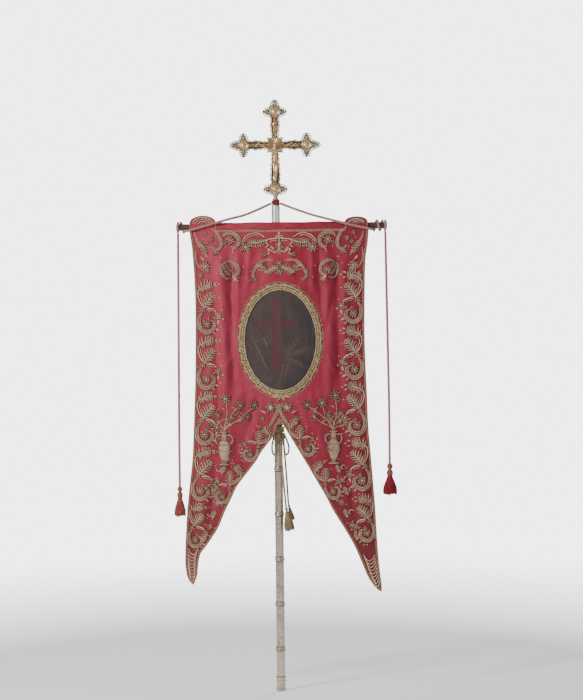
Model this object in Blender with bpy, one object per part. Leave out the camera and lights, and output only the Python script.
"""Processional church banner.

A swallow-tailed silk banner hangs from a wooden crossbar. A cord tied round the neck of a
silver-sheathed staff carries the bar, and an altar cross plugs into the top of the staff.
Metres, +Z up. The foot of the staff stands at the origin and the banner faces -Y.
"""
import math

import bmesh
import bpy
from mathutils import Matrix, Vector

# ---- Fits
GAP = 0.0003  # between pieces that touch
SEGMENTS = 20  # sides of a turned piece

# ---- Staff: a wooden core in silver sleeves, each with a ring moulded at its upper end
STAFF_RADIUS = 0.0178
SHEATH_WALL = 0.0018
RING_RADIUS = STAFF_RADIUS + 0.0037
RING_HALF = 0.006
RING_PITCH = 0.189
FIRST_RING = 0.178
RING_COUNT = 10
TAKE_DOWN_RING = 6  # the staff comes apart above this ring
TOP_TUBE = 0.165
SPIGOT = 0.075
FERRULE_HEIGHT = 0.058
FERRULE_RADIUS = STAFF_RADIUS + 0.0030
FERRULE_FLOOR = 0.006

# ---- Neck and the cross's tang
NECK_FLANGE = 0.004
WAIST_RADIUS = 0.0095
WAIST_HEIGHT = 0.0215
NECK_TOP_RADIUS = 0.0135
NECK_TOP = 0.0025
TENON = 0.044
TANG_RADIUS = 0.0059
TANG = 0.055
KNOT_RADIUS = STAFF_RADIUS - 0.0008

# ---- Cross
CROSS_COLLAR = 0.0162
CROSS_COLLAR_RADIUS = 0.0125
CROSS_THICKNESS = 0.010
CROSS_SHAFT = 0.2115  # from the collar up to the crossing
ARM_HALF_WIDTH = 0.0165
SIDE_BOSS = 0.133
TOP_BOSS = 0.1398
LOWER_BOSS = 0.186
SIDE_REACH = 0.061
TOP_REACH = 0.0537
LOBE = 0.050
BOSS_RADIUS = 0.0185
BOSS_HEIGHT = 0.006
GLORY_HALF = 0.033
GLORY_THICKNESS = 0.002

# ---- Crossbar and cloth
BAR_RADIUS = 0.0145
BAR_DROP = 0.089  # from the top of the staff down to the bar's axis
BAR_BEYOND_LEFT = 0.059  # past the cloth's corner
BAR_BEYOND_RIGHT = 0.080
SLEEVE_WALL = 0.0015
STAFF_CLEARANCE = 0.0005
LINING = 0.0015
CLOTH = 0.0025
CLOTH_WIDTH = 0.746
CLOTH_CENTRE = 0.0135
CLOTH_DROP = 1.536  # from the bar's axis to the longer tip
CLOTH_RISE = 0.017  # above the bar's axis
HEADER_DROP = 0.030  # below the bar's axis, where the cloth starts to swing
HEADER_GAP = 0.0007
BRAID_RADIUS = 0.0020
TRIM = 0.0010  # thickness of appliqué embroidery
OVAL_DROP = 0.3106 * CLOTH_DROP
OVAL_LACE = (0.2426 * CLOTH_WIDTH, 0.1586 * CLOTH_DROP)
OVAL_PICTURE = (0.2037 * CLOTH_WIDTH, 0.1380 * CLOTH_DROP)
LACE_THICKNESS = 0.004
GALLOON_DROP = 0.0185
GALLOON_HALF = 0.003
VASE_DROP = 0.603 * CLOTH_DROP
VASE_OFFSET = 0.307 * CLOTH_WIDTH
VASE_HEIGHT = 0.0931 * CLOTH_DROP

# ---- Cords and tassels
CORD_RADIUS = 0.0052
BOW_CORD_RADIUS = 0.0040
BOW_HEIGHT = 0.028
BOW_RING = 5  # the bow sits just under this ring
WINDING_CLEARANCE = 0.0009

# ---- Values worked out from those above
core_radius = STAFF_RADIUS - SHEATH_WALL - GAP
sheath_inner = STAFF_RADIUS - SHEATH_WALL
ring_heights = [FIRST_RING + RING_PITCH * k for k in range(RING_COUNT)]
take_down = ring_heights[TAKE_DOWN_RING] + RING_HALF
staff_top = ring_heights[-1] + TOP_TUBE
waist_bottom = staff_top + GAP + NECK_FLANGE
waist_top = waist_bottom + WAIST_HEIGHT
neck_top = waist_top + NECK_TOP
knot_middle = (waist_bottom + waist_top) / 2
collar_bottom = neck_top + GAP
collar_top = collar_bottom + CROSS_COLLAR
cross_z = collar_top + GAP + CROSS_SHAFT
cross_front = -CROSS_THICKNESS / 2
bar_z = staff_top - BAR_DROP
sleeve_inner = BAR_RADIUS + GAP
sleeve_outer = sleeve_inner + SLEEVE_WALL
bar_y = -(STAFF_RADIUS + STAFF_CLEARANCE + sleeve_outer)
cloth_left = CLOTH_CENTRE - CLOTH_WIDTH / 2
cloth_right = CLOTH_CENTRE + CLOTH_WIDTH / 2
bar_left = cloth_left - BAR_BEYOND_LEFT
bar_right = cloth_right + BAR_BEYOND_RIGHT
lining_back = bar_y - sleeve_outer - GAP
cloth_back = lining_back - LINING - GAP
cloth_front = cloth_back - CLOTH
trim_back = cloth_front - GAP
header_bottom = bar_z - HEADER_DROP
cloth_top = header_bottom - HEADER_GAP
bow_top = ring_heights[BOW_RING] - RING_HALF - GAP

# ---- Outline of the cloth: shares of CLOTH_WIDTH from its centre line and of CLOTH_DROP below
# the bar's axis. The left edge runs down to the left tip, and the fork runs from tip to tip.
LEFT_EDGE = [
    (-0.500, 0.015), (-0.485, 0.074), (-0.474, 0.174), (-0.473, 0.283), (-0.477, 0.392),
    (-0.482, 0.466), (-0.493, 0.584), (-0.500, 0.638), (-0.520, 0.720), (-0.533, 0.783),
    (-0.544, 0.874), (-0.545, 0.923), (-0.530, 0.958), (-0.511, 0.974),
]
FORK_EDGE = [
    (-0.495, 0.971), (-0.483, 0.947), (-0.477, 0.920), (-0.463, 0.890), (-0.429, 0.868),
    (-0.363, 0.820), (-0.325, 0.777), (-0.287, 0.740), (-0.252, 0.706), (-0.200, 0.673),
    (-0.147, 0.640), (-0.112, 0.612), (-0.046, 0.570), (-0.024, 0.540), (-0.007, 0.536),
    (0.010, 0.540), (0.227, 0.720), (0.284, 0.773), (0.344, 0.821), (0.398, 0.867),
    (0.436, 0.909), (0.478, 0.957), (0.512, 0.982), (0.546, 1.000),
]
RIGHT_EDGE = [
    (0.552, 0.990), (0.539, 0.930), (0.530, 0.867), (0.519, 0.762), (0.500, 0.635),
    (0.487, 0.552), (0.481, 0.463), (0.475, 0.385), (0.471, 0.288), (0.475, 0.179),
    (0.481, 0.095), (0.495, 0.045), (0.500, 0.015),
]
# Rounded shoulders at the top corners: half width, and rise above the cloth's top edge
LEFT_SHOULDER = (0.0535, 0.029)
RIGHT_SHOULDER = (0.0455, 0.019)

MATERIALS = {
    "silver": ((0.55, 0.52, 0.46), 1.0, 0.32),
    "gilt": ((0.60, 0.40, 0.18), 1.0, 0.30),
    "dark_wood": ((0.09, 0.035, 0.028), 0.0, 0.55),
    "core_wood": ((0.35, 0.22, 0.12), 0.0, 0.70),
    "crimson_silk": ((0.36, 0.03, 0.055), 0.0, 0.45),
    "lining_cloth": ((0.25, 0.03, 0.04), 0.0, 0.80),
    "gold_thread": ((0.32, 0.22, 0.12), 0.3, 0.50),
    "painted_panel": ((0.05, 0.03, 0.03), 0.0, 0.60),
    "rose_cord": ((0.45, 0.16, 0.15), 0.0, 0.70),
    "crimson_tassel": ((0.30, 0.02, 0.04), 0.0, 0.70),
    "ochre_cord": ((0.38, 0.24, 0.11), 0.0, 0.70),
}


def material(name):
    """The named material, made once."""
    made = bpy.data.materials.get(name)
    if made:
        return made
    color, metallic, roughness = MATERIALS[name]
    made = bpy.data.materials.new(name)
    made.use_nodes = True
    shader = made.node_tree.nodes["Principled BSDF"]
    shader.inputs["Base Color"].default_value = (*color, 1.0)
    shader.inputs["Metallic"].default_value = metallic
    shader.inputs["Roughness"].default_value = roughness
    return made


def place(name, data, slot, origin=(0, 0, 0), turn=None):
    """Link one object for one sub-part, with its own copy of its material."""
    piece = bpy.data.objects.new(name, data)
    bpy.context.scene.collection.objects.link(piece)
    own = material(slot).copy()
    own.name = name + "_" + slot
    data.materials.append(own)
    piece.location = origin
    if turn:
        piece.rotation_euler = turn.to_euler()
    return piece


def finish_mesh(name, shape, slot, origin=(0, 0, 0), turn=None, sharp=35):
    """Turn a bmesh into an object, faces outward and shaded smooth up to the sharp angle."""
    bmesh.ops.recalc_face_normals(shape, faces=shape.faces)
    mesh = bpy.data.meshes.new(name)
    shape.to_mesh(mesh)
    shape.free()
    mesh.shade_smooth()
    mesh.set_sharp_from_angle(angle=math.radians(sharp))
    return place(name, mesh, slot, origin, turn)


def turned(name, profile, slot, origin=(0, 0, 0), turn=None, closed=False):
    """Spin a profile of (radius, height) points about the piece's own Z axis."""
    shape = bmesh.new()
    verts = [shape.verts.new((r, 0, z)) for r, z in profile]
    edges = [shape.edges.new(pair) for pair in zip(verts, verts[1:])]
    if closed:
        edges.append(shape.edges.new((verts[-1], verts[0])))
    bmesh.ops.spin(
        shape, geom=verts + edges, cent=(0, 0, 0), axis=(0, 0, 1),
        angle=math.tau, steps=SEGMENTS, use_merge=True,
    )
    bmesh.ops.remove_doubles(shape, verts=shape.verts, dist=0.000001)
    return finish_mesh(name, shape, slot, origin, turn)


def plate(name, outline, back, front, slot):
    """Extrude an outline of (x, z) points from its back to its front, both given as y."""
    shape = bmesh.new()
    face = shape.faces.new([shape.verts.new((x, back, z)) for x, z in outline])
    grown = bmesh.ops.extrude_face_region(shape, geom=[face])["geom"]
    moved = [part for part in grown if isinstance(part, bmesh.types.BMVert)]
    bmesh.ops.translate(shape, vec=(0, front - back, 0), verts=moved)
    return finish_mesh(name, shape, slot)


def ring_plate(name, outer, inner, back, front, slot):
    """A flat ring between two outlines of as many points."""
    shape = bmesh.new()
    rows = [(outer, back), (outer, front), (inner, front), (inner, back)]
    loops = [[shape.verts.new((x, y, z)) for x, z in row] for row, y in rows]
    count = len(outer)
    for this, after in zip(loops, loops[1:] + loops[:1]):
        for i in range(count):
            j = (i + 1) % count
            shape.faces.new((this[i], this[j], after[j], after[i]))
    return finish_mesh(name, shape, slot)


def smooth_route(points, step):
    """Evenly spaced points along a smooth curve through the route's own points."""
    route = [Vector(p) for p in points]
    ends = [2 * route[0] - route[1]] + route + [2 * route[-1] - route[-2]]
    fine = []
    for a, b, c, d in zip(ends, ends[1:], ends[2:], ends[3:]):
        for i in range(24):
            t = i / 24
            fine.append(
                0.5 * (2 * b + (c - a) * t + (2 * a - 5 * b + 4 * c - d) * t * t
                       + (3 * b - a - 3 * c + d) * t ** 3)
            )
    fine.append(route[-1])
    lengths = [0.0]
    for p, q in zip(fine, fine[1:]):
        lengths.append(lengths[-1] + (q - p).length)
    count = max(2, round(lengths[-1] / step) + 1)
    made = []
    place_in = 0
    for i in range(count):
        goal = lengths[-1] * i / (count - 1)
        while place_in < len(fine) - 2 and lengths[place_in + 1] < goal:
            place_in += 1
        span = lengths[place_in + 1] - lengths[place_in]
        share = (goal - lengths[place_in]) / span if span else 0
        made.append(fine[place_in].lerp(fine[place_in + 1], share))
    return made


def tube(name, points, radius, slot, resolution=2):
    """A round cord along the points, with flat ends."""
    data = bpy.data.curves.new(name, "CURVE")
    data.dimensions = "3D"
    data.bevel_depth = radius
    data.bevel_resolution = resolution
    data.use_fill_caps = True
    spline = data.splines.new("POLY")
    spline.points.add(len(points) - 1)
    for point, place_at in zip(spline.points, points):
        point.co = (*place_at, 1)
    return place(name, data, slot)


def along_x(x, y, z):
    """Where and how a piece turned about Z is laid along X."""
    return {"origin": (x, y, z), "turn": Matrix.Rotation(math.pi / 2, 3, "Y")}


def rod(radius, length, chamfer):
    """Profile of a round rod with chamfered ends."""
    return [
        (0, 0), (radius - chamfer, 0), (radius, chamfer),
        (radius, length - chamfer), (radius - chamfer, length), (0, length),
    ]


# ---- Staff
def build_ferrule():
    top = FERRULE_HEIGHT
    profile = [
        (0, 0), (FERRULE_RADIUS - 0.004, 0), (FERRULE_RADIUS, 0.005),
        (FERRULE_RADIUS, top - 0.010), (FERRULE_RADIUS - 0.0015, top - 0.004),
        (FERRULE_RADIUS - 0.0015, top), (sheath_inner, top),
        (sheath_inner, FERRULE_FLOOR), (0, FERRULE_FLOOR),
    ]
    turned("foot_ferrule", profile, "silver")


def build_cores():
    bottom = FERRULE_FLOOR + GAP
    middle = take_down - SPIGOT
    turned("lower_core", rod(core_radius, middle - GAP - bottom, 0.001), "core_wood",
           (0, 0, bottom))
    top = staff_top - TENON - GAP
    turned("upper_core", rod(core_radius, top - middle, 0.001), "core_wood", (0, 0, middle))


def sleeve_profile(bottom, ring):
    """A tube with a moulded ring round its upper end."""
    top = ring + RING_HALF
    return [
        (sheath_inner, bottom), (STAFF_RADIUS, bottom), (STAFF_RADIUS, ring - RING_HALF),
        (RING_RADIUS, ring - RING_HALF * 0.45), (RING_RADIUS, ring + RING_HALF * 0.45),
        (STAFF_RADIUS, top), (sheath_inner, top),
    ]


def build_sleeves():
    bottom = FERRULE_HEIGHT + GAP
    for k, ring in enumerate(ring_heights, 1):
        turned(f"staff_sleeve_{k:02d}", sleeve_profile(bottom, ring), "silver", closed=True)
        bottom = ring + RING_HALF + GAP
    profile = [
        (sheath_inner, bottom), (STAFF_RADIUS, bottom),
        (STAFF_RADIUS, staff_top), (sheath_inner, staff_top),
    ]
    turned(f"staff_sleeve_{RING_COUNT + 1:02d}", profile, "silver", closed=True)


def build_neck():
    bore = TANG_RADIUS + GAP
    seat = staff_top + GAP
    profile = [
        (0, staff_top - TENON), (core_radius, staff_top - TENON), (core_radius, seat),
        (STAFF_RADIUS, seat), (STAFF_RADIUS, waist_bottom - 0.001),
        (WAIST_RADIUS, waist_bottom), (WAIST_RADIUS, waist_top),
        (NECK_TOP_RADIUS, waist_top), (NECK_TOP_RADIUS, neck_top),
        (bore, neck_top), (bore, neck_top - TANG - GAP * 4), (0, neck_top - TANG - GAP * 4),
    ]
    turned("staff_neck", profile, "silver")


def build_neck_knot():
    """Several turns of the cord, tied round the waist, as one barrel."""
    inner = WAIST_RADIUS + GAP
    half = (waist_top - waist_bottom) / 2 - GAP
    profile = [
        (inner, -half), (KNOT_RADIUS - 0.003, -half), (KNOT_RADIUS, -half * 0.4),
        (KNOT_RADIUS, half * 0.4), (KNOT_RADIUS - 0.003, half), (inner, half),
    ]
    turned("neck_cord_wrap", profile, "rose_cord", (0, 0, knot_middle), closed=True)


# ---- Cross
def arm_outline(boss, reach):
    """One side of an arm as (distance out, half width), from the crossing to its tip."""
    return [
        (ARM_HALF_WIDTH, ARM_HALF_WIDTH), (0.045, 0.0125), (boss - 0.052, 0.0185),
        (boss - 0.036, 0.0150), (boss - 0.022, 0.0185), (boss - 0.014, 0.8 * LOBE),
        (boss - 0.003, LOBE), (boss + 0.008, 0.8 * LOBE), (boss + 0.016, 0.024),
        (boss + 0.028, 0.018), (boss + reach - 0.012, 0.011), (boss + reach, 0.004),
    ]


def shaft_outline():
    """One side of the lower arm, from the crossing down to its seat on the collar."""
    boss = LOWER_BOSS
    return [
        (ARM_HALF_WIDTH, ARM_HALF_WIDTH), (0.060, 0.0135), (0.085, 0.0180), (0.110, 0.0135),
        (boss - 0.040, 0.0185), (boss - 0.026, 0.0150), (boss - 0.014, 0.8 * LOBE),
        (boss - 0.003, LOBE), (boss + 0.008, 0.8 * LOBE), (boss + 0.013, 0.020),
        (CROSS_SHAFT, 0.010),
    ]


def cross_outline():
    """The whole outline, going clockwise from the top arm."""
    arms = [
        (arm_outline(TOP_BOSS, TOP_REACH), (0, 1)), (arm_outline(SIDE_BOSS, SIDE_REACH), (1, 0)),
        (shaft_outline(), (0, -1)), (arm_outline(SIDE_BOSS, SIDE_REACH), (-1, 0)),
    ]
    made = []
    for side, (dx, dz) in arms:
        left = [(out * dx - half * dz, out * dz + half * dx) for out, half in side]
        right = [(out * dx + half * dz, out * dz - half * dx) for out, half in reversed(side)]
        made += left + right[:-1]
    return [(x, cross_z + z) for x, z in made]


def build_cross():
    tang_bottom = neck_top - TANG
    profile = [
        (0, tang_bottom), (TANG_RADIUS - 0.001, tang_bottom), (TANG_RADIUS, tang_bottom + 0.002),
        (TANG_RADIUS, collar_bottom), (CROSS_COLLAR_RADIUS, collar_bottom),
        (CROSS_COLLAR_RADIUS, collar_bottom + 0.004), (0.0085, collar_bottom + 0.008),
        (CROSS_COLLAR_RADIUS, collar_top - 0.003), (CROSS_COLLAR_RADIUS, collar_top),
        (0, collar_top),
    ]
    turned("cross_base", profile, "gilt")
    plate("cross_body", cross_outline(), CROSS_THICKNESS / 2, cross_front, "silver")
    dome = [
        (0, 0), (BOSS_RADIUS, 0), (BOSS_RADIUS, 0.0015), (BOSS_RADIUS * 0.8, 0.0030),
        (BOSS_RADIUS * 0.5, BOSS_HEIGHT * 0.9), (0, BOSS_HEIGHT),
    ]
    forward = Matrix.Rotation(math.pi / 2, 3, "X")
    seats = {
        "top": (0, TOP_BOSS), "left": (-SIDE_BOSS, 0),
        "right": (SIDE_BOSS, 0), "lower": (0, -LOWER_BOSS),
    }
    for side, (x, z) in seats.items():
        turned(f"cross_boss_{side}", dome, "gilt", (x, cross_front - GAP, cross_z + z), forward)


def build_glory():
    """A square plate of rays behind the figure's head."""
    outline = []
    rays = 20
    for i in range(2 * rays):
        angle = math.tau * i / (2 * rays)
        square = 1 / max(abs(math.cos(angle)), abs(math.sin(angle)))
        size = GLORY_HALF * min(square, 1.25) * (0.90 if i % 2 else 1.0)
        outline.append((size * math.cos(angle), cross_z + size * math.sin(angle)))
    back = cross_front - GAP
    plate("glory_plate", outline, back, back - GLORY_THICKNESS, "gilt")


def build_corpus():
    """The small figure on the cross, as one skin round a skeleton of (x, y, z, radius)."""
    back = cross_front - 2 * GAP - GLORY_THICKNESS
    deep = back - 0.0088
    bones = [
        (0.001, deep - 0.0030, -0.001, 0.0070), (0.000, deep - 0.0020, -0.011, 0.0060),
        (0.000, deep, -0.021, 0.0052), (0.000, deep, -0.028, 0.0105),
        (0.000, deep, -0.044, 0.0095), (0.000, deep, -0.060, 0.0080),
        (0.001, deep, -0.076, 0.0100), (0.002, deep, -0.096, 0.0085),
        (0.001, deep - 0.0005, -0.118, 0.0070), (0.000, deep + 0.0020, -0.140, 0.0050),
        (0.000, deep + 0.0010, -0.153, 0.0048),
    ]
    arm = [
        (0.015, deep + 0.0005, -0.024, 0.0058), (0.034, deep + 0.0025, -0.016, 0.0045),
        (0.053, deep + 0.0052, -0.004, 0.0038), (0.066, deep + 0.0070, 0.005, 0.0034),
        (0.075, deep + 0.0080, 0.010, 0.0040),
    ]
    mesh = bpy.data.meshes.new("corpus")
    verts = [(x, y, cross_z + z) for x, y, z, _ in bones]
    radii = [r for *_, r in bones]
    edges = [(i, i + 1) for i in range(len(bones) - 1)]
    chest = 3
    for side in (-1, 1):
        last = chest
        for x, y, z, r in arm:
            verts.append((side * x, y, cross_z + z))
            radii.append(r)
            edges.append((last, len(verts) - 1))
            last = len(verts) - 1
    mesh.from_pydata(verts, edges, [])
    figure = place("corpus", mesh, "gilt")
    skin = figure.modifiers.new("skin", "SKIN")
    skin.use_smooth_shade = True
    for item, radius in zip(mesh.skin_vertices[0].data if mesh.skin_vertices else [], radii):
        item.radius = (radius, radius)
    rounded = figure.modifiers.new("rounded", "SUBSURF")
    rounded.levels = 1
    rounded.render_levels = 1
    return figure


# ---- Crossbar, header and cloth
def build_crossbar():
    profile = rod(BAR_RADIUS, bar_right - bar_left, 0.002)
    turned("crossbar", profile, "dark_wood", **along_x(bar_left, bar_y, bar_z))
    inset = 0.002
    length = CLOTH_WIDTH - 2 * inset
    sleeve = [
        (sleeve_inner, 0), (sleeve_outer, 0), (sleeve_outer, length), (sleeve_inner, length),
    ]
    turned("rod_sleeve", sleeve, "crimson_silk", closed=True,
           **along_x(cloth_left + inset, bar_y, bar_z))


def on_cloth(points):
    """Shares of the cloth's width and drop, as (x, z)."""
    return [(CLOTH_CENTRE + u * CLOTH_WIDTH, bar_z - v * CLOTH_DROP) for u, v in points]


left_edge = on_cloth(LEFT_EDGE)
fork_edge = on_cloth(FORK_EDGE)
right_edge = on_cloth(RIGHT_EDGE)


def edge_x(edge, z):
    """Where an edge of the cloth is at a height, between its two nearest points."""
    ordered = sorted(edge, key=lambda p: p[1])
    for (xa, za), (xb, zb) in zip(ordered, ordered[1:]):
        if za <= z <= zb:
            return xa + (xb - xa) * (z - za) / (zb - za)
    return ordered[0][0] if z < ordered[0][1] else ordered[-1][0]


def shoulder(centre, wide, rise, steps=12):
    """The arc of one shoulder, from left to right."""
    made = []
    for i in range(steps + 1):
        angle = math.pi * (1 - i / steps)
        made.append((centre + wide * math.cos(angle),
                     bar_z + CLOTH_RISE + rise * math.sin(angle)))
    return made


def build_header():
    """The stitched top of the banner, with its two rounded shoulders, which stays on the bar."""
    shoulder_foot = bar_z - 0.012
    outline = [(edge_x(left_edge, header_bottom), header_bottom), (cloth_left, shoulder_foot)]
    outline += shoulder(cloth_left + LEFT_SHOULDER[0], *LEFT_SHOULDER)
    outline += shoulder(cloth_right - RIGHT_SHOULDER[0] - 0.004, *RIGHT_SHOULDER)
    outline += [(cloth_right, shoulder_foot), (edge_x(right_edge, header_bottom), header_bottom)]
    plate("banner_header", outline, lining_back, cloth_front, "crimson_silk")


def below(edge, top):
    """The part of a side edge under a height, with a new point at that height."""
    kept = [p for p in edge if p[1] < top - 0.004]
    corner = (edge_x(edge, top), top)
    return [corner] + kept if edge[0][1] > edge[-1][1] else kept + [corner]


def build_cloth():
    """The swinging body of the banner and its lining, under the header."""
    outline = below(left_edge, cloth_top) + fork_edge + below(right_edge, cloth_top)
    plate("banner_front", outline, cloth_back, cloth_front, "crimson_silk")
    plate("banner_lining", outline, lining_back, cloth_back + GAP, "lining_cloth")


def beside(points, offset):
    """The points moved sideways, to the left of their direction of travel, in the cloth's plane."""
    made = []
    for i, (x, z) in enumerate(points):
        ax, az = points[max(i - 1, 0)]
        bx, bz = points[min(i + 1, len(points) - 1)]
        ways = []
        for (px, pz), (qx, qz) in (((ax, az), (x, z)), ((x, z), (bx, bz))):
            size = math.hypot(qx - px, qz - pz)
            if size:
                ways.append((-(qz - pz) / size, (qx - px) / size))
        nx = sum(w[0] for w in ways) / len(ways)
        nz = sum(w[1] for w in ways) / len(ways)
        square = nx * nx + nz * nz
        made.append((x + offset * nx / square, z + offset * nz / square))
    return made


def build_braids():
    """Gold piping sewn along the cloth's edges, just outside them."""
    off = -(BRAID_RADIUS + GAP)
    middle = (cloth_back + cloth_front) / 2
    top = cloth_top - 2 * BRAID_RADIUS
    runs = {
        "left": below(left_edge, top), "fork": fork_edge, "right": below(right_edge, top),
    }
    for side, run in runs.items():
        route = [(x, middle, z) for x, z in beside(run, off)]
        tube(f"edge_braid_{side}", route, BRAID_RADIUS, "gold_thread", 1)


def oval(size, count=48):
    """Points round an oval on the cloth's centre line."""
    return [
        (CLOTH_CENTRE + size[0] * math.cos(math.tau * i / count),
         bar_z - OVAL_DROP + size[1] * math.sin(math.tau * i / count))
        for i in range(count)
    ]


def build_oval():
    plate("oval_painting", oval(OVAL_PICTURE), trim_back, trim_back - TRIM, "painted_panel")
    inner = (OVAL_PICTURE[0] + GAP * 2, OVAL_PICTURE[1] + GAP * 2)
    ring_plate("oval_lace", oval(OVAL_LACE), oval(inner), trim_back,
               trim_back - LACE_THICKNESS, "gold_thread")


def build_galloon():
    left = cloth_left + 0.012
    right = cloth_right - 0.012
    low = bar_z - GALLOON_DROP - GALLOON_HALF
    high = bar_z - GALLOON_DROP + GALLOON_HALF
    plate("top_galloon", [(left, low), (right, low), (right, high), (left, high)],
          trim_back, trim_back - TRIM, "gold_thread")


def vase_outline(centre, drop):
    """A footed vase with two handles, and the flowers standing in it."""
    half = [
        (0.020, -0.5), (0.022, -0.46), (0.008, -0.40), (0.008, -0.34), (0.024, -0.22),
        (0.030, -0.05), (0.034, 0.05), (0.016, 0.12), (0.012, 0.22), (0.026, 0.34), (0.018, 0.5),
    ]
    middle = bar_z - drop
    right = [(centre + x, middle + share * VASE_HEIGHT) for x, share in half]
    left = [(centre - x, middle + share * VASE_HEIGHT) for x, share in reversed(half)]
    return right + left


def strip(edge, high, low, near, far, count, inward):
    """A band of embroidery beside an edge, from one height down to another."""
    heights = [high + (low - high) * i / count for i in range(count + 1)]
    outer = [(edge_x(edge, z) + inward * near, z) for z in heights]
    inner = [(edge_x(edge, z) + inward * far, z) for z in reversed(heights)]
    return outer + inner


def build_embroidery():
    """Padded gold-thread work, as thin appliqués on the front of the cloth."""
    front = trim_back - TRIM
    half_fork = [p for p in fork_edge if p[0] <= fork_edge[14][0]]
    other_fork = [p for p in fork_edge if p[0] > fork_edge[14][0]]
    high = cloth_top - 0.012
    low = bar_z - 0.86 * CLOTH_DROP
    fork_high = bar_z - 0.60 * CLOTH_DROP
    fork_low = bar_z - 0.80 * CLOTH_DROP
    bands = {
        "border_embroidery_left": strip(left_edge, high, low, 0.007, 0.058, 16, 1),
        "border_embroidery_right": strip(right_edge, high, low, 0.007, 0.058, 16, -1),
        "fork_embroidery_left": strip(half_fork, fork_high, fork_low, 0.012, 0.062, 6, -1),
        "fork_embroidery_right": strip(other_fork, fork_high, fork_low, 0.012, 0.062, 6, 1),
    }
    for name, outline in bands.items():
        plate(name, outline, trim_back, front, "gold_thread")
    wide = CLOTH_WIDTH / 2 - 0.085
    top = [
        (CLOTH_CENTRE - wide, high), (CLOTH_CENTRE - wide, high - 0.065),
        (CLOTH_CENTRE - 0.04, high - 0.060), (CLOTH_CENTRE, high - 0.080),
        (CLOTH_CENTRE + 0.04, high - 0.060), (CLOTH_CENTRE + wide, high - 0.065),
        (CLOTH_CENTRE + wide, high),
    ]
    plate("border_embroidery_top", top, trim_back, front, "gold_thread")
    for side, sign in (("left", -1), ("right", 1)):
        centre = CLOTH_CENTRE - 0.011 + sign * VASE_OFFSET
        plate(f"vase_{side}", vase_outline(centre, VASE_DROP), trim_back, front, "gold_thread")


# ---- Suspension cord
def round_bar(x_start, x_end, start, stop):
    """Points of the cord winding round the bar. Angles go from 180 in front to 270 below."""
    radius = BAR_RADIUS + WINDING_CLEARANCE + CORD_RADIUS
    count = round((stop - start) / 30)
    made = []
    for i in range(count + 1):
        angle = math.radians(start + (stop - start) * i / count)
        x = x_start + (x_end - x_start) * i / count
        made.append((x, bar_y + radius * math.cos(angle), bar_z + radius * math.sin(angle)))
    return made


turn_left = bar_left + 0.0075
turn_right = bar_right - 0.0075
last_left = turn_left + 2 * CORD_RADIUS + GAP
last_right = turn_right - 2 * CORD_RADIUS - GAP
lay = cloth_front - CORD_RADIUS - 0.0012  # the cord lies on the front of the header


def build_slants():
    """From the knot at the neck, over the shoulders and round the bar to its ends."""
    beside_knot = KNOT_RADIUS + 0.0025
    knot_z = knot_middle - 0.0045
    left = [
        (-beside_knot, -0.004, knot_z), (-0.070, 0.33 * lay, staff_top - 0.0135),
        (-0.132, 0.65 * lay, bar_z + 0.0490), (-0.185, 0.89 * lay, bar_z + 0.0345),
        (-0.232, lay, bar_z + 0.0215), (-0.300, lay, bar_z + 0.0030),
        (-0.362, lay, bar_z - 0.0145), (-0.3725, lay + 0.0032, bar_z - 0.0165),
    ]
    right = [
        (beside_knot, -0.004, knot_z), (0.075, 0.33 * lay, staff_top - 0.0130),
        (0.1495, 0.70 * lay, bar_z + 0.0480), (0.190, 0.91 * lay, bar_z + 0.0355),
        (0.232, lay, bar_z + 0.0235), (0.310, lay, bar_z + 0.0035),
        (0.389, lay, bar_z - 0.0150), (0.3985, lay + 0.0032, bar_z - 0.0170),
    ]
    wound_left = round_bar(turn_left + 0.0285, last_left, 228, 450)
    wound_right = round_bar(turn_right - 0.0505, last_right, 228, 810)
    runs = {"left": (left, wound_left), "right": (right, wound_right)}
    for side, (free, wound) in runs.items():
        loose = smooth_route(free + wound[:1], 5 * CORD_RADIUS)
        turns = smooth_route(wound, 1.8 * CORD_RADIUS)
        tube(f"{side}_slant_cord", loose[:-1] + turns, CORD_RADIUS, "rose_cord")


def build_bar_turns():
    """The last turn of the cord round each end of the bar, as a ring."""
    inner = BAR_RADIUS + GAP
    middle = inner + CORD_RADIUS
    profile = []
    for i in range(8):
        angle = math.tau * (i + 0.5) / 8
        profile.append((middle + CORD_RADIUS * math.cos(angle), CORD_RADIUS * math.sin(angle)))
    for side, x in (("left", turn_left), ("right", turn_right)):
        turned(f"{side}_bar_turn", profile, "rose_cord", closed=True, **along_x(x, bar_y, bar_z))


drop_top = bar_z - BAR_RADIUS - 2 * GAP - CORD_RADIUS * (1 + math.cos(math.pi / 8))


def tassel(name, top, tip, head, bead, skirt_radius, slot):
    """A turned head with two beads, and a bell of fringe under it down to the tip."""
    down = Vector(tip) - Vector(top)
    turn = Vector((0, 0, -1)).rotation_difference(down).to_matrix()
    waist = 0.62 * bead
    beads = [
        (0, 0), (waist, 0), (bead, -0.18 * head), (bead, -0.34 * head), (waist, -0.48 * head),
        (bead * 1.1, -0.66 * head), (bead * 1.1, -0.84 * head), (bead * 0.9, -head), (0, -head),
    ]
    turned(f"{name}_head", beads, slot, top, turn)
    start = head + GAP
    fringe = down.length - start
    bell = [
        (0, -start), (bead * 0.9, -start), (bead * 1.25, -start - 0.10 * fringe),
        (skirt_radius * 0.78, -start - 0.45 * fringe), (skirt_radius, -start - fringe),
        (0, -start - fringe),
    ]
    turned(f"{name}_skirt", bell, slot, top, turn)


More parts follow.
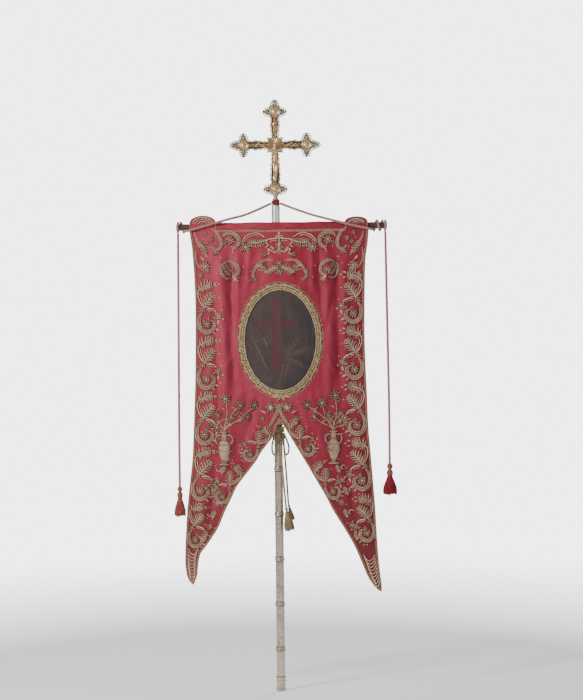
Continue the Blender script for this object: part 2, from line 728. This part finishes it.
def build_drops():
    """The free ends of the cord, hanging from the bar's ends to their tassels."""
    left_x = turn_left - 0.0045
    right_x = turn_right + 0.0075
    left_end = bar_z - 1.087
    right_end = bar_z - 1.000
    left = [
        (turn_left, bar_y, drop_top), (turn_left - 0.0004, bar_y, drop_top - 0.06),
        (turn_left - 0.0018, bar_y, drop_top - 0.35), (left_x, bar_y, left_end + 0.25),
        (left_x, bar_y, left_end),
    ]
    right = [
        (turn_right, bar_y, drop_top), (turn_right + 0.0006, bar_y, drop_top - 0.06),
        (turn_right + 0.0035, bar_y, drop_top - 0.35), (right_x, bar_y, right_end + 0.25),
        (right_x, bar_y, right_end),
    ]
    tube("left_drop_cord", smooth_route(left, 5 * CORD_RADIUS), CORD_RADIUS, "rose_cord")
    tube("right_drop_cord", smooth_route(right, 5 * CORD_RADIUS), CORD_RADIUS, "rose_cord")
    tassel("left_tassel", (left_x, bar_y, left_end - GAP), (left_x, bar_y, left_end - 0.128),
           0.035, 0.0105, 0.0235, "rose_cord")
    tassel("right_tassel", (right_x, bar_y, right_end - GAP),
           (right_x, bar_y, right_end - 0.1335), 0.035, 0.0125, 0.0300, "crimson_tassel")


# ---- Bow tied round the staff
bow_radius = STAFF_RADIUS + GAP + 2 * BOW_CORD_RADIUS
bow_bottom = bow_top - BOW_HEIGHT
hug = STAFF_RADIUS + GAP + BOW_CORD_RADIUS  # a bow cord's middle where it lies on the staff


def round_staff(points):
    """Points given as degrees from the front to the right, distance past hug, and drop."""
    made = []
    for degrees, off, drop in points:
        angle = math.radians(degrees)
        radius = hug + off
        made.append((radius * math.sin(angle), -radius * math.cos(angle), bow_bottom - drop))
    return made


BOW_ROUTES = {
    "bow_loop_left": [
        (-47, 0.0005, 0.0006), (-51, 0.0035, 0.020), (-58, 0.0089, 0.050), (-55, 0.0097, 0.078),
        (-43, 0.0051, 0.0925), (-26, 0.0029, 0.080), (-19, 0.0027, 0.050), (-15, 0.0017, 0.020),
        (-13, 0.0005, 0.0006),
    ],
    "bow_loop_right": [
        (81, 0.0007, 0.0012), (88, 0.0069, 0.018), (91, 0.0179, 0.045), (92, 0.0219, 0.070),
        (93, 0.0165, 0.0905), (96, 0.0071, 0.0925), (100, 0.0028, 0.070), (105, 0.0015, 0.040),
        (108, 0.0013, 0.018), (110, 0.0006, 0.0008),
    ],
    "bow_strand_a": [
        (15, 0.0015, 0.0006), (15, 0.0020, 0.020), (21, 0.0083, 0.080), (32, 0.0137, 0.190),
        (43.5, 0.0201, 0.313),
    ],
    "bow_strand_b": [
        (55, 0.0022, 0.0006), (55, 0.0025, 0.020), (56, 0.0080, 0.080), (64, 0.0145, 0.190),
        (70.5, 0.0193, 0.300),
    ],
}
BOW_TASSELS = {
    "bow_tassel_a": ([(44, 0.0205, 0.3136), (55.6, 0.0324, 0.414)], 0.0065, 0.0215),
    "bow_tassel_b": ([(71.4, 0.0196, 0.3012), (84.6, 0.0341, 0.372)], 0.0055, 0.0125),
}


def build_bow():
    inner = STAFF_RADIUS + GAP
    profile = [
        (inner, bow_bottom), (bow_radius - 0.002, bow_bottom), (bow_radius, bow_bottom + 0.003),
        (bow_radius, bow_top - 0.003), (bow_radius - 0.002, bow_top), (inner, bow_top),
    ]
    turned("bow_wrap", profile, "ochre_cord", closed=True)
    for name, points in BOW_ROUTES.items():
        spacing = 2.5 if "loop" in name else 4.5
        route = smooth_route(round_staff(points), spacing * BOW_CORD_RADIUS)
        tube(name, route, BOW_CORD_RADIUS, "ochre_cord")
    for name, (ends, knot_radius, skirt_radius) in BOW_TASSELS.items():
        single_tassel(name, *round_staff(ends), knot_radius, skirt_radius)


def single_tassel(name, top, tip, neck_radius, skirt_radius):
    """A small tassel whose knot and fringe are one piece."""
    down = Vector(tip) - Vector(top)
    turn = Vector((0, 0, -1)).rotation_difference(down).to_matrix()
    length = down.length
    bell = [
        (0, 0), (neck_radius * 0.7, 0), (neck_radius, -0.05 * length),
        (neck_radius, -0.12 * length), (neck_radius * 0.7, -0.18 * length),
        (neck_radius * 1.3, -0.32 * length), (skirt_radius * 0.8, -0.62 * length),
        (skirt_radius, -0.97 * length), (skirt_radius * 0.8, -length), (0, -length),
    ]
    turned(name, bell, "ochre_cord", top, turn)


def main():
    for old in list(bpy.data.objects):
        bpy.data.objects.remove(old)
    build_ferrule()
    build_cores()
    build_sleeves()
    build_neck()
    build_neck_knot()
    build_cross()
    build_glory()
    build_corpus()
    build_crossbar()
    build_header()
    build_cloth()
    build_braids()
    build_oval()
    build_galloon()
    build_embroidery()
    build_slants()
    build_bar_turns()
    build_drops()
    build_bow()


main()
